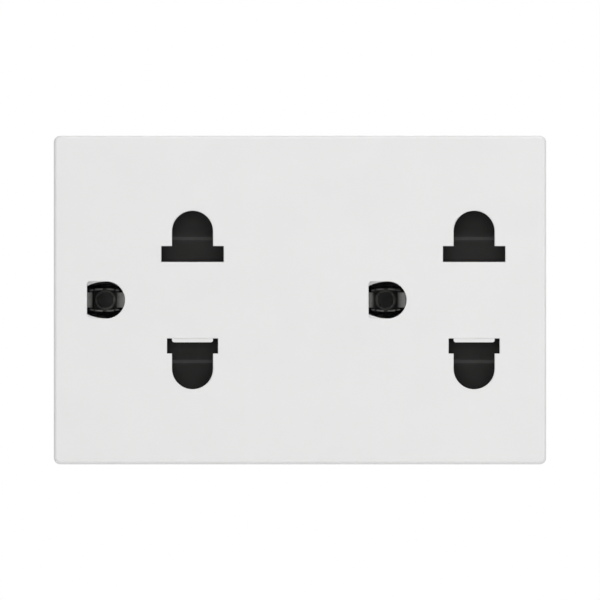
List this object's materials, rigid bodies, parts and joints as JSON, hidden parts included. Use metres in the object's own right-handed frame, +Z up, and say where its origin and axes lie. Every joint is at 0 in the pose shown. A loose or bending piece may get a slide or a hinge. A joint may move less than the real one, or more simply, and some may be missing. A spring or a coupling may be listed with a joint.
{
  "type": "double wall socket",
  "caption": "Clip-in double wall socket insert with shuttered openings for flat and round pins, sprung earth contacts and screw terminals behind.",
  "frame": {"origin": "middle of the plate on the seat plane, the rim of the skirt that lies on the mounting frame", "axes": "+X to the right and +Z up as seen from the front, +Y into the wall; the face looks along -Y"},
  "size_m": [0.068, 0.0301, 0.0454],
  "materials": {
    "white_plastic": "satin",
    "grey_plastic": "satin",
    "black_plastic": "satin",
    "charcoal_plastic": "satin",
    "brass": "bright stamped",
    "tinned_metal": "dull tin plated",
    "rivet_metal": "dull nickel",
    "spring_steel": "drawn wire",
    "screw_steel": "zinc plated"
  },
  "bodies": {
    "root": {"front_cover": "white_plastic", "rear_housing": "grey_plastic", "shutter_deck": "charcoal_plastic", "neutral_shutter_spring_left": "spring_steel", "line_shutter_spring_left": "spring_steel", "neutral_shutter_spring_right": "spring_steel", "line_shutter_spring_right": "spring_steel", "neutral_busbar": "brass", "neutral_middle_leaf_left": "brass", "neutral_middle_leaf_right": "brass", "line_busbar": "brass", "line_middle_leaf_left": "brass", "line_middle_leaf_right": "brass", "contact_rivets": "brass", "earth_busbar": "tinned_metal", "earth_contact_left": "tinned_metal", "earth_contact_right": "tinned_metal", "earth_rivets": "rivet_metal", "neutral_terminal": "brass", "neutral_terminal_screw": "screw_steel", "line_terminal": "brass", "line_terminal_screw": "screw_steel", "earth_terminal": "brass", "earth_terminal_screw": "screw_steel"},
    "neutral_shutter_left": {"neutral_shutter_left": "black_plastic"},
    "line_shutter_left": {"line_shutter_left": "black_plastic"},
    "neutral_shutter_right": {"neutral_shutter_right": "black_plastic"},
    "line_shutter_right": {"line_shutter_right": "black_plastic"}
  },
  "joints": [
    {"name": "neutral_shutter_left_slide", "type": "slide", "parent": "root", "child": "neutral_shutter_left", "axis": [0, 0, 1], "range_m": [-0.0053, 0.00176], "stiffness_N_per_m": 60, "deforming": ["neutral_shutter_spring_left"]},
    {"name": "line_shutter_left_slide", "type": "slide", "parent": "root", "child": "line_shutter_left", "axis": [0, 0, -1], "range_m": [-0.0053, 0.00176], "stiffness_N_per_m": 60, "deforming": ["line_shutter_spring_left"]},
    {"name": "neutral_shutter_right_slide", "type": "slide", "parent": "root", "child": "neutral_shutter_right", "axis": [0, 0, 1], "range_m": [-0.0053, 0.00176], "stiffness_N_per_m": 60, "deforming": ["neutral_shutter_spring_right"]},
    {"name": "line_shutter_right_slide", "type": "slide", "parent": "root", "child": "line_shutter_right", "axis": [0, 0, -1], "range_m": [-0.0053, 0.00176], "stiffness_N_per_m": 60, "deforming": ["line_shutter_spring_right"]}
  ]
}
